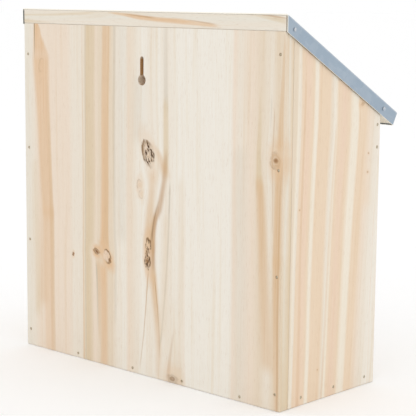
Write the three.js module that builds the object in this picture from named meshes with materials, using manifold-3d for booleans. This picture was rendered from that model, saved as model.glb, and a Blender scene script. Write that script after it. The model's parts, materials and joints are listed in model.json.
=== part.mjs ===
// Birdhouse: a wide pine nest box with two chambers under one sloping roof.
//
// The roof board is capped with folded galvanised sheet, the front swings up on two nails for
// cleaning, a turn button keeps it shut, and a keyhole in the back hangs the box on a screw.
//
// Millimetres, +Z up, front towards -Y, back towards +Y. The origin lies on the surface that the
// box stands on, below the middle of its overall outline. Left and right are as seen by someone
// who faces the front, so left is -X. Everything is drawn with y = 0 on the back panel's rear
// face, and the house group moves it to the origin.

import * as THREE from 'three';
import { mergeVertices } from 'three/addons/utils/BufferGeometryUtils.js';
import Module from 'manifold-3d';

// ---- Driving dimensions: the box -----------------------------------------------------------

const WIDTH = 300; // over the two side panels
const DEPTH = 121; // rear face of the back panel to the front edges of the side panels
const BACK_HEIGHT = 290.7; // base to the roof board's underside, at the rear face
const ROOF_SLOPE = THREE.MathUtils.degToRad(29.5); // down towards the front
const ROOF_OVERHANG = 21.5; // front edges of the side panels to the front of the roof sheet

const BACK_THICKNESS = 10;
const SIDE_THICKNESS = 10;
const FLOOR_THICKNESS = 10;
const ROOF_THICKNESS = 10;
const FRONT_THICKNESS = 10; // door and lintel
const DIVIDER_THICKNESS = 10;
const JOINT = 0.2; // gap left in each joint between two boards

// ---- Driving dimensions: the front ---------------------------------------------------------

const LINTEL_HEIGHT = 16.8; // of its front face
const DOOR_SIDE_GAP = 1;
const DOOR_TOP_GAP = 1.6;
const DOOR_BOTTOM_GAP = 1;
const DOOR_STOP_GAP = 0.3; // shut door to the divider that stops it
const SWING_CLEARANCE = 0.8; // around the top edge of the door as it swings
const PIVOT_BELOW_TOP = 7.6; // pivot nails to the door's top edge
const FRONT_NAIL_INSET = 3.6; // pivot and lintel nails to the front edges of the side panels
const ENTRANCE_RADIUS = 16;
const ENTRANCE_ABOVE_FLOOR = 140; // floor board's top to the centres of the entrances

// ---- Driving dimensions: openings in the boards --------------------------------------------

const KEYHOLE_BELOW_ROOF = 24.1; // roof board's underside to the top of the slot
const KEYHOLE_LENGTH = 23.7;
const KEYHOLE_SLOT_WIDTH = 4;
const KEYHOLE_HEAD_RADIUS = 4.4;
const KEYHOLE_OFF_CENTRE = 1.6; // towards the right side
const DRAIN_RADIUS = 4;
const DRAIN_FROM_SIDE = 32; // inner face of a side panel to the nearest drain holes
const DRAIN_FROM_DIVIDER = 32;

// ---- Driving dimensions: the roof sheet ----------------------------------------------------

const SHEET = 0.7;
const SHEET_LIFT = 0.3; // under the sheet, over the roof board
const SHEET_SIDE_PLAY = 1.2; // roof board's ends to the side flanges
const SHEET_FRONT_PLAY = 0.8;
const FLANGE_DEPTH = 11.7; // from the top of the sheet, square to the slope

// ---- Driving dimensions: nails, screw and turn button --------------------------------------

const BRAD = { head: 1.15, headDepth: 0.7, shank: 0.75, length: 25, point: 2.5, proud: -0.25 };
const PIVOT_NAIL = { head: 1.3, headDepth: 0.8, shank: 0.95, length: 30, point: 2.5, proud: -0.1 };
const CLOUT = { head: 1.6, headDepth: 0.7, shank: 0.8, length: 14, point: 2, proud: 0.85 };
const NAIL_SIDES = 10;
const NAIL_CLEARANCE = 0.15; // around a nail in its hole
const PIVOT_CLEARANCE = 0.35; // around the pivot nails in the door
const DRILL_SIDES = 12;
const ENTRANCE_SIDES = 40;

const SIDE_NAILS_ABOVE_BASE = { right: 14.7, left: 13.1 };
const SIDE_NAILS_BELOW_ROOF = { right: 13.1, left: 3.3 }; // top nail to the roof, at its point
const SIDE_NAIL_SHARES = { right: [0, 0.333, 0.667, 1], left: [0, 0.354, 0.667, 1] }; // of that run
const BACK_FLOOR_NAILS_FROM_EDGE = { right: 69.2, left: 41 };
const BACK_FLOOR_NAIL_SHARES = [0, 0.362, 0.667, 1]; // of the run from right to left
const BACK_FLOOR_NAIL_DROP = 1.2; // below the middle of the floor board
const FLOOR_NAILS_FROM_BACK = 26;
const FLOOR_NAILS_FROM_FRONT = 12.5;
const FLOOR_NAIL_COUNT = 3;
const FLOOR_NAIL_RISE = 1.5; // side panels' floor nails above the middle of the floor board
const LINTEL_NAIL_RISE = 9; // above the lintel's underside
const DIVIDER_NAILS_FROM_ENDS = 25; // along the divider's lower edge
const ROOF_NAILS_FROM_FRONT = 23; // roof board's nails, from the side panels' front edges
const ROOF_NAILS_FROM_BACK = 48;
const FLANGE_NAIL_DEPTH = 6.2; // from the top of the sheet, square to the slope
const FLANGE_NAILS_FROM_BACK = 6.5; // along the slope
const FLANGE_NAILS_FROM_FRONT = 19.5;
const FRONT_FLANGE_NAILS_FROM_EDGE = 50;
const FRONT_FLANGE_NAIL_COUNT = 3;

const BUTTON_WIDTH = 8;
const BUTTON_REACH = 22; // screw to the tip
const BUTTON_THICKNESS = 1.2;
const BUTTON_GAP = 0.4; // to the floor board's edge and the door
const BUTTON_HOLE_CLEARANCE = 0.3;
const SCREW = { head: 3.2, headDepth: 1.6, shank: 1.5, length: 16, point: 3, proud: 3.5 };
const SCREW_SIDES = 16;

// ---- Sizes that follow ---------------------------------------------------------------------

const BACK_Y = (DEPTH + ROOF_OVERHANG) / 2;
const INNER_X = WIDTH / 2 - SIDE_THICKNESS;
const BACK_INNER_Y = -BACK_THICKNESS;
const FRONT_Y = -DEPTH;
const FRONT_INNER_Y = FRONT_Y + FRONT_THICKNESS;
const SHEET_TOP = ROOF_THICKNESS + SHEET_LIFT + SHEET; // over the roof's underside
const PAST = 5; // how far a cut runs past the face that it opens

// Height of the roof board's underside over a point of the box.
const underside = (y) => BACK_HEIGHT + y * Math.tan(ROOF_SLOPE);
const LINTEL_Z = underside(FRONT_Y) - LINTEL_HEIGHT;
const DOOR_TOP_Z = LINTEL_Z - DOOR_TOP_GAP;
const DOOR_BOTTOM_Z = FLOOR_THICKNESS + DOOR_BOTTOM_GAP;
const PIVOT_Y = FRONT_Y + FRONT_NAIL_INSET;
const PIVOT_Z = DOOR_TOP_Z - PIVOT_BELOW_TOP;

// A point of the roof in (y, z): so far down the slope from the rear edge of the underside, and
// so far above the underside.
function onSlope(down, above) {
  const cos = Math.cos(ROOF_SLOPE);
  const sin = Math.sin(ROOF_SLOPE);
  return [-down * cos - above * sin, BACK_HEIGHT - down * sin + above * cos];
}

// The point at the given height above the underside where the roof meets an upright plane.
function onSlopeAt(y, above) {
  return [y, underside(y) + above / Math.cos(ROOF_SLOPE)];
}

// Distance down the slope to the outer face of the sheet's front flange.
const SHEET_FRONT =
  (DEPTH + ROOF_OVERHANG - SHEET_TOP * Math.sin(ROOF_SLOPE)) / Math.cos(ROOF_SLOPE);

const DOWN_THROUGH_ROOF = new THREE.Vector3(0, Math.sin(ROOF_SLOPE), -Math.cos(ROOF_SLOPE));
const UP_THE_SLOPE = new THREE.Vector3(0, Math.cos(ROOF_SLOPE), Math.sin(ROOF_SLOPE));

// ---- Solids --------------------------------------------------------------------------------

const wasm = await Module();
wasm.setup();

function toSolid(geometry) {
  geometry.deleteAttribute('normal');
  geometry.deleteAttribute('uv');
  const merged = mergeVertices(geometry, 1e-5);
  return new wasm.Manifold(
    new wasm.Mesh({
      numProp: 3,
      vertProperties: new Float32Array(merged.attributes.position.array),
      triVerts: new Uint32Array(merged.index.array),
    })
  );
}

function toGeometry(solid) {
  const mesh = solid.getMesh();
  const geometry = new THREE.BufferGeometry();
  geometry.setAttribute('position', new THREE.BufferAttribute(mesh.vertProperties, 3));
  geometry.setIndex(new THREE.BufferAttribute(mesh.triVerts, 1));
  geometry.computeVertexNormals();
  return geometry;
}

function extrude(shape, depth, segments) {
  return new THREE.ExtrudeGeometry(shape, {
    depth,
    bevelEnabled: false,
    curveSegments: segments,
  });
}

// A solid with an outline in (y, z), from one x to another.
function acrossX(outline, fromX, toX) {
  const shape = new THREE.Shape(outline.map(([y, z]) => new THREE.Vector2(y, z)));
  const geometry = extrude(shape, toX - fromX, 1);
  const turn = new THREE.Matrix4().makeBasis(
    new THREE.Vector3(0, 1, 0),
    new THREE.Vector3(0, 0, 1),
    new THREE.Vector3(1, 0, 0)
  );
  geometry.applyMatrix4(turn.setPosition(fromX, 0, 0));
  return toSolid(geometry);
}

// A solid with an outline in (x, z), from one y towards the front.
function towardsFront(shape, fromY, depth, segments) {
  const geometry = extrude(shape, depth, segments);
  const turn = new THREE.Matrix4().makeBasis(
    new THREE.Vector3(1, 0, 0),
    new THREE.Vector3(0, 0, 1),
    new THREE.Vector3(0, -1, 0)
  );
  geometry.applyMatrix4(turn.setPosition(0, fromY, 0));
  return toSolid(geometry);
}

function rectangle(y0, z0, y1, z1) {
  return [
    [y0, z0],
    [y1, z0],
    [y1, z1],
    [y0, z1],
  ];
}

// Evenly spaced values from one end to the other.
function spaced(count, from, to) {
  return Array.from({ length: count }, (_, i) => from + ((to - from) * i) / (count - 1));
}

function atShares(shares, from, to) {
  return shares.map((share) => from + (to - from) * share);
}

// ---- Nails and screws ----------------------------------------------------------------------

const steel = (name) =>
  new THREE.MeshStandardMaterial({ name, color: 0xb9bcc0, roughness: 0.4, metalness: 1 });

// The turned profile of a nail along +Y, head up, with y = 0 on the surface that it is driven
// into. The profile may be grown all round, which makes the drill for its hole.
function nailProfile(kind, grow = 0) {
  const headTop = kind.proud;
  const headBottom = headTop - kind.headDepth;
  const end = -kind.length;
  return [
    new THREE.Vector2(0, end - grow),
    new THREE.Vector2(kind.shank + grow, end + kind.point),
    new THREE.Vector2(kind.shank + grow, headBottom - grow),
    new THREE.Vector2(kind.head + grow, headBottom - grow),
    new THREE.Vector2(kind.head + grow, headTop + (grow > 0 ? PAST : 0)),
    new THREE.Vector2(0, headTop + (grow > 0 ? PAST : 0)),
  ];
}

// Turns +Y against the way in, so that the head faces out of the surface.
function placing(at, into) {
  const turn = new THREE.Quaternion().setFromUnitVectors(
    new THREE.Vector3(0, 1, 0),
    into.clone().negate()
  );
  return new THREE.Matrix4().makeRotationFromQuaternion(turn).setPosition(at);
}

function drill(radius, at, into, length, sides) {
  const geometry = new THREE.CylinderGeometry(radius, radius, length + PAST, sides);
  geometry.translate(0, (PAST - length) / 2, 0);
  geometry.applyMatrix4(placing(at, into));
  return toSolid(geometry);
}

const nails = [];

function addNail(name, kind, at, into, { holds, sides = NAIL_SIDES }) {
  nails.push({ name, kind, at: new THREE.Vector3(...at), into, holds, sides });
}

function nailMesh({ name, kind, at, into, sides }) {
  const mesh = new THREE.Mesh(new THREE.LatheGeometry(nailProfile(kind), sides), steel(name));
  mesh.name = name;
  placing(at, into).decompose(mesh.position, mesh.quaternion, mesh.scale);
  return mesh;
}

// The hole that a nail makes in the boards. The head of a surface nail stays outside.
function nailHole({ kind, at, into, sides }) {
  if (kind.proud > 0) {
    return drill(kind.shank + NAIL_CLEARANCE, at, into, kind.length + NAIL_CLEARANCE, sides);
  }
  const geometry = new THREE.LatheGeometry(nailProfile(kind, NAIL_CLEARANCE), sides);
  geometry.applyMatrix4(placing(at, into));
  return toSolid(geometry);
}

const SIDES = [
  { side: 'right', sign: 1 },
  { side: 'left', sign: -1 },
];
const TO_FRONT = new THREE.Vector3(0, -1, 0);
const TO_BACK = new THREE.Vector3(0, 1, 0);
const UP = new THREE.Vector3(0, 0, 1);

function addSideNails({ side, sign }) {
  const inwards = new THREE.Vector3(-sign, 0, 0);
  const outerX = (sign * WIDTH) / 2;
  const edgeX = sign * (WIDTH / 2 - SIDE_THICKNESS / 2);

  atShares(
    SIDE_NAIL_SHARES[side],
    SIDE_NAILS_ABOVE_BASE[side],
    underside(-BRAD.length) - SIDE_NAILS_BELOW_ROOF[side]
  ).forEach((z, i) => {
    const holds = ['back_panel', `side_panel_${side}`];
    addNail(`back_nail_${side}_${i + 1}`, BRAD, [edgeX, 0, z], TO_FRONT, { holds });
  });

  spaced(
    FLOOR_NAIL_COUNT,
    -FLOOR_NAILS_FROM_BACK,
    FRONT_Y + FLOOR_NAILS_FROM_FRONT
  ).forEach((y, i) => {
    const at = [outerX, y, FLOOR_THICKNESS / 2 + FLOOR_NAIL_RISE];
    const holds = [`side_panel_${side}`, 'floor_board'];
    addNail(`floor_nail_${side}_${i + 1}`, BRAD, at, inwards, { holds });
  });

  addNail(
    `lintel_nail_${side}`,
    BRAD,
    [outerX, PIVOT_Y, LINTEL_Z + LINTEL_NAIL_RISE],
    inwards,
    { holds: [`side_panel_${side}`, 'front_lintel'] }
  );
  addNail(`pivot_nail_${side}`, PIVOT_NAIL, [outerX, PIVOT_Y, PIVOT_Z], inwards, {
    holds: [`side_panel_${side}`],
  });

  [FRONT_Y + ROOF_NAILS_FROM_FRONT, -ROOF_NAILS_FROM_BACK].forEach((y, i) => {
    const at = [edgeX, ...onSlopeAt(y, ROOF_THICKNESS)];
    const holds = ['roof_board', `side_panel_${side}`];
    addNail(`roof_nail_${side}_${i + 1}`, BRAD, at, DOWN_THROUGH_ROOF, { holds });
  });

  const flangeX = sign * (WIDTH / 2 + SHEET_SIDE_PLAY + SHEET);
  [FLANGE_NAILS_FROM_BACK, SHEET_FRONT - FLANGE_NAILS_FROM_FRONT].forEach((down, i) => {
    const at = [flangeX, ...onSlope(down, SHEET_TOP - FLANGE_NAIL_DEPTH)];
    const holds = ['roof_sheet', 'roof_board'];
    addNail(`sheet_nail_${side}_${i + 1}`, CLOUT, at, inwards, { holds });
  });
}

function addMiddleNails() {
  const z = FLOOR_THICKNESS / 2 - BACK_FLOOR_NAIL_DROP;
  atShares(
    BACK_FLOOR_NAIL_SHARES,
    WIDTH / 2 - BACK_FLOOR_NAILS_FROM_EDGE.right,
    -WIDTH / 2 + BACK_FLOOR_NAILS_FROM_EDGE.left
  ).forEach((x, i) => {
    const holds = ['back_panel', 'floor_board'];
    addNail(`back_floor_nail_${i + 1}`, BRAD, [x, 0, z], TO_FRONT, { holds });
  });

  spaced(
    2,
    BACK_INNER_Y - DIVIDER_NAILS_FROM_ENDS,
    FRONT_INNER_Y + DIVIDER_NAILS_FROM_ENDS
  ).forEach((y, i) => {
    const holds = ['floor_board', 'centre_divider'];
    addNail(`divider_nail_${i + 1}`, BRAD, [0, y, 0], UP, { holds });
  });
  addNail('divider_nail_front', BRAD, [0, FRONT_Y, LINTEL_Z + LINTEL_NAIL_RISE], TO_BACK, {
    holds: ['front_lintel', 'centre_divider'],
  });

  const edge = WIDTH / 2 - FRONT_FLANGE_NAILS_FROM_EDGE;
  spaced(FRONT_FLANGE_NAIL_COUNT, -edge, edge).forEach((x, i) => {
    const at = [x, ...onSlope(SHEET_FRONT, SHEET_TOP - FLANGE_NAIL_DEPTH)];
    const holds = ['roof_sheet', 'roof_board'];
    addNail(`sheet_nail_front_${i + 1}`, CLOUT, at, UP_THE_SLOPE, { holds });
  });
}

SIDES.forEach(addSideNails);
addMiddleNails();
addNail('button_screw', SCREW, [0, FRONT_Y, FLOOR_THICKNESS / 2], TO_BACK, {
  holds: ['floor_board'],
  sides: SCREW_SIDES,
});

// ---- Boards --------------------------------------------------------------------------------

// The keyhole's outline: a slot with a round top, and the round head below it that lets a screw
// head in.
function keyholeShape() {
  const slot = KEYHOLE_SLOT_WIDTH / 2;
  const top = BACK_HEIGHT - KEYHOLE_BELOW_ROOF;
  const headZ = top - KEYHOLE_LENGTH + KEYHOLE_HEAD_RADIUS;
  const shoulder = Math.asin(slot / KEYHOLE_HEAD_RADIUS);
  const shape = new THREE.Shape();
  shape.absarc(KEYHOLE_OFF_CENTRE, top - slot, slot, 0, Math.PI, false);
  shape.absarc(
    KEYHOLE_OFF_CENTRE,
    headZ,
    KEYHOLE_HEAD_RADIUS,
    Math.PI / 2 + shoulder,
    Math.PI / 2 - shoulder + 2 * Math.PI,
    false
  );
  return shape;
}

function backPanel() {
  const outline = [
    [0, 0],
    [0, underside(0) - JOINT],
    [BACK_INNER_Y, underside(BACK_INNER_Y) - JOINT],
    [BACK_INNER_Y, 0],
  ];
  const keyhole = towardsFront(keyholeShape(), PAST, BACK_THICKNESS + 2 * PAST, 12);
  return acrossX(outline, -WIDTH / 2, WIDTH / 2).subtract(keyhole);
}

function sidePanel(sign) {
  const rearY = BACK_INNER_Y - JOINT;
  const outline = [
    [rearY, 0],
    [rearY, underside(rearY) - JOINT],
    [FRONT_Y, underside(FRONT_Y) - JOINT],
    [FRONT_Y, 0],
  ];
  const faces = [sign * INNER_X, (sign * WIDTH) / 2].sort((a, b) => a - b);
  return acrossX(outline, ...faces);
}

function floorBoard() {
  const outline = rectangle(FRONT_Y, 0, BACK_INNER_Y - JOINT, FLOOR_THICKNESS);
  const reach = INNER_X - JOINT;
  const middleY = (BACK_INNER_Y + FRONT_INNER_Y) / 2;
  const drains = [INNER_X - DRAIN_FROM_SIDE, DIVIDER_THICKNESS / 2 + DRAIN_FROM_DIVIDER];
  return [1, -1]
    .flatMap((sign) => drains.map((x) => new THREE.Vector3(sign * x, middleY, 0)))
    .reduce(
      (board, at) =>
        board.subtract(drill(DRAIN_RADIUS, at, UP, FLOOR_THICKNESS + PAST, 2 * DRILL_SIDES)),
      acrossX(outline, -reach, reach)
    );
}

function roofBoard() {
  const front = SHEET_FRONT - SHEET - SHEET_FRONT_PLAY;
  const outline = [
    onSlopeAt(0, 0),
    onSlopeAt(0, ROOF_THICKNESS),
    onSlope(front, ROOF_THICKNESS),
    onSlope(front, 0),
  ];
  return acrossX(outline, -WIDTH / 2, WIDTH / 2);
}

function roofSheet() {
  const innerTop = SHEET_TOP - SHEET;
  const lip = SHEET_TOP - FLANGE_DEPTH;
  const outer = [
    onSlopeAt(0, lip),
    onSlopeAt(0, SHEET_TOP),
    onSlope(SHEET_FRONT, SHEET_TOP),
    onSlope(SHEET_FRONT, lip),
  ];
  const inner = [
    onSlopeAt(PAST, lip - PAST),
    onSlopeAt(PAST, innerTop),
    onSlope(SHEET_FRONT - SHEET, innerTop),
    onSlope(SHEET_FRONT - SHEET, lip - PAST),
  ];
  const innerX = WIDTH / 2 + SHEET_SIDE_PLAY;
  const outerX = innerX + SHEET;
  return acrossX(outer, -outerX, outerX).subtract(acrossX(inner, -innerX, innerX));
}

function frontLintel() {
  const outline = [
    [FRONT_Y, LINTEL_Z],
    [FRONT_INNER_Y, LINTEL_Z],
    [FRONT_INNER_Y, underside(FRONT_INNER_Y) - JOINT],
    [FRONT_Y, underside(FRONT_Y) - JOINT],
  ];
  const reach = INNER_X - JOINT;
  return acrossX(outline, -reach, reach);
}

function frontDoor() {
  const outline = rectangle(FRONT_Y, DOOR_BOTTOM_Z, FRONT_INNER_Y, DOOR_TOP_Z);
  const reach = INNER_X - DOOR_SIDE_GAP;
  const entranceX = (INNER_X + DIVIDER_THICKNESS / 2) / 2;
  const entranceZ = FLOOR_THICKNESS + ENTRANCE_ABOVE_FLOOR;
  return SIDES.reduce((door, { sign }) => {
    const entrance = drill(
      ENTRANCE_RADIUS,
      new THREE.Vector3(sign * entranceX, FRONT_Y, entranceZ),
      TO_BACK,
      FRONT_THICKNESS + PAST,
      ENTRANCE_SIDES
    );
    const pivotHole = drill(
      PIVOT_NAIL.shank + PIVOT_CLEARANCE,
      new THREE.Vector3((sign * WIDTH) / 2, PIVOT_Y, PIVOT_Z),
      new THREE.Vector3(-sign, 0, 0),
      PIVOT_NAIL.length + PIVOT_CLEARANCE,
      2 * DRILL_SIDES
    );
    return door.subtract(entrance).subtract(pivotHole);
  }, acrossX(outline, -reach, reach));
}

// The divider reaches the roof. Its front edge stops the door, and steps back at the top, where
// the door's upper edge swings in.
function centreDivider() {
  const rearY = BACK_INNER_Y - JOINT;
  const stopY = FRONT_INNER_Y + DOOR_STOP_GAP;
  const lintelY = FRONT_INNER_Y + JOINT;
  const swing = Math.hypot(FRONT_THICKNESS - FRONT_NAIL_INSET, PIVOT_BELOW_TOP);
  const reliefY = Math.max(PIVOT_Y + swing + SWING_CLEARANCE, stopY);
  const reliefZ = PIVOT_Z - swing - SWING_CLEARANCE;
  const bottomZ = FLOOR_THICKNESS + JOINT;
  const outline = [
    [rearY, bottomZ],
    [rearY, underside(rearY) - JOINT],
    [lintelY, underside(lintelY) - JOINT],
    [lintelY, LINTEL_Z],
    [reliefY, LINTEL_Z],
    [reliefY, reliefZ],
    [stopY, reliefZ],
    [stopY, bottomZ],
  ];
  return acrossX(outline, -DIVIDER_THICKNESS / 2, DIVIDER_THICKNESS / 2);
}

// ---- Turn button ---------------------------------------------------------------------------

// A strip with round ends that turns on its screw, lying open along the floor board's edge.
function turnButton() {
  const end = BUTTON_WIDTH / 2;
  const shape = new THREE.Shape();
  shape.absarc(0, 0, end, Math.PI / 2, (3 * Math.PI) / 2, false);
  shape.absarc(BUTTON_REACH - end, 0, end, -Math.PI / 2, Math.PI / 2, false);
  const hole = new THREE.Path();
  hole.absarc(0, 0, SCREW.shank + BUTTON_HOLE_CLEARANCE, 0, 2 * Math.PI, true);
  shape.holes.push(hole);
  const strip = towardsFront(shape, FRONT_Y - BUTTON_GAP, BUTTON_THICKNESS, 12);
  return strip.translate([0, 0, FLOOR_THICKNESS / 2]);
}

// ---- The birdhouse -------------------------------------------------------------------------

const pine = (name, color) =>
  new THREE.MeshStandardMaterial({ name, color, roughness: 0.75, metalness: 0 });
const galvanised = (name) =>
  new THREE.MeshStandardMaterial({ name, color: 0xa9b3bf, roughness: 0.5, metalness: 0.9 });

const PIECES = [
  { name: 'back_panel', solid: backPanel(), material: pine('back_panel', 0xe9dcc6) },
  { name: 'side_panel_right', solid: sidePanel(1), material: pine('side_panel_right', 0xe8d3b4) },
  { name: 'side_panel_left', solid: sidePanel(-1), material: pine('side_panel_left', 0xe8d3b4) },
  { name: 'floor_board', solid: floorBoard(), material: pine('floor_board', 0xe6d5ba) },
  { name: 'roof_board', solid: roofBoard(), material: pine('roof_board', 0xe7d8bd) },
  { name: 'front_lintel', solid: frontLintel(), material: pine('front_lintel', 0xe8d9bf) },
  { name: 'front_door', solid: frontDoor(), material: pine('front_door', 0xe8d9bf) },
  { name: 'centre_divider', solid: centreDivider(), material: pine('centre_divider', 0xe6d5ba) },
  { name: 'roof_sheet', solid: roofSheet(), material: galvanised('roof_sheet') },
  { name: 'turn_button', solid: turnButton(), material: galvanised('turn_button') },
];

const house = new THREE.Group();
house.position.y = BACK_Y;

for (const { name, solid, material } of PIECES) {
  const holes = nails.filter((nail) => nail.holds.includes(name)).map(nailHole);
  const bored = holes.reduce((board, hole) => board.subtract(hole), solid);
  const mesh = new THREE.Mesh(toGeometry(bored), material);
  mesh.name = name;
  house.add(mesh);
}
house.add(...nails.map(nailMesh));

const birdhouse = new THREE.Group();
birdhouse.add(house);

export default birdhouse;
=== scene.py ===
"""Birdhouse: the finish of a wide pine nest box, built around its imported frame.

Every board is a planed and eased copy of its place in the frame, with pine that follows its own
growth rings, streaks and knots. The roof sheet is folded, the nails and the screw are turned.
Lengths are metres unless a name or comment says millimetres (the wood patterns are in mm).
"""

import json
import math
from collections import namedtuple

import bmesh
import bpy
from mathutils import Matrix, Quaternion, Vector, noise


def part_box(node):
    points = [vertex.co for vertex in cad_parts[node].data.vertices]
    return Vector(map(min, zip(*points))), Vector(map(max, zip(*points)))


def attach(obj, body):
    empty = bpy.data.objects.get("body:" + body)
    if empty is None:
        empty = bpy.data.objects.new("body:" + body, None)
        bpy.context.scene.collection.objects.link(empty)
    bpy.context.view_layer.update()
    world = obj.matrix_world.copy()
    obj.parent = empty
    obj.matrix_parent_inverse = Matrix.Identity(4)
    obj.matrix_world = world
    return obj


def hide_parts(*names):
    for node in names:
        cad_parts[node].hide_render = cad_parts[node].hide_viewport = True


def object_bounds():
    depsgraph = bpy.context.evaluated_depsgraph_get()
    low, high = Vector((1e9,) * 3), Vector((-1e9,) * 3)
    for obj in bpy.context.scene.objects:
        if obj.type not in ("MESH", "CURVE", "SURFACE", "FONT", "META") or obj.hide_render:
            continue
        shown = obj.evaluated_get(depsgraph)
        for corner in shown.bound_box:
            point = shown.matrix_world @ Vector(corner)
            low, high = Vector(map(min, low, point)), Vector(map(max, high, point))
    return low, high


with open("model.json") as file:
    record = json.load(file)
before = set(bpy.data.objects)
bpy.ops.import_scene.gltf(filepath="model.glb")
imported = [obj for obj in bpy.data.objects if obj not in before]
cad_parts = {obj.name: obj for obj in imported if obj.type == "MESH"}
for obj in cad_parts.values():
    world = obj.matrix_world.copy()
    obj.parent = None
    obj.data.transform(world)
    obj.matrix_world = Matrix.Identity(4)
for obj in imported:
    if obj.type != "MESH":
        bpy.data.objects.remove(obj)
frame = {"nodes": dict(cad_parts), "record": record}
CAD_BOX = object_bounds()

bl_info = {
    "name": "Birdhouse",
    "version": (1, 0, 0),
    "blender": (4, 5, 0),
    "location": "View3D > Sidebar > Birdhouse",
    "description": "Pine, sheet metal and nails for a wide nest box",
    "category": "Object",
}

MM = 0.001
WELD = 2e-6  # points of a piece that are nearer to each other are one

BODIES = frame["record"]["behaviour"]["bodies"]
BODY_OF = {node: body for body, members in BODIES.items() for node in members}


def colour(code):
    """A linear colour from the six-figure code of its screen colour."""
    parts = (int(code[i : i + 2], 16) / 255 for i in (0, 2, 4))
    return tuple(p / 12.92 if p <= 0.04045 else ((p + 0.055) / 1.055) ** 2.4 for p in parts)


# ---- What grows in each board --------------------------------------------------------------
#
# A tone is a stop of the board's colour across its grain: a distance in mm and a wood colour.
# A streak runs along the grain between two points, with half widths and strengths at each end.
# Bow bends its middle to the side, and soft is how much of its width fades out.
# A knot has a centre, half sizes across and along the grain, and the strengths of its heart, the
# bark on its rim, its cracks, its dark core and the stain round it. Tilt leans its long axis, the
# rim is strongest towards side, and push is how strongly it pushes the grain about it aside.

Tone = namedtuple("Tone", "across colour")
Streak = namedtuple("Streak", "start end widths strengths colour bow soft", defaults=(0, 0.5))
Knot = namedtuple(
    "Knot",
    "across along half_across half_along heart rim cracks core stain colour tilt side soft push",
    defaults=("heart", 0, 0, 0.3, 0.35),
)


def tone_list(*pairs):
    return [Tone(*pair) for pair in pairs]


BACK_TONES = tone_list(
    (-158, "khaki"), (-155.5, "sand"), (-153, "silver"), (-151.5, "sand"), (-142, "sand"),
    (-137, "pale"), (-128, "sand"), (-118, "blush"), (-106, "pale"),
    (-100.5, "blush"), (-97, "chalk"), (-38, "chalk"), (-27, "pale"), (-18, "chalk"),
    (-9, "pale"), (0, "chalk"), (8, "pale"), (17, "blush"), (21, "chalk"), (32, "pale"),
    (37, "sand"), (52, "sand"), (58, "blush"), (69, "sand"), (73, "pale"), (86, "pale"),
    (92, "blush"), (131, "blush"), (139, "pale"), (150, "silver"),
)

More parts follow.
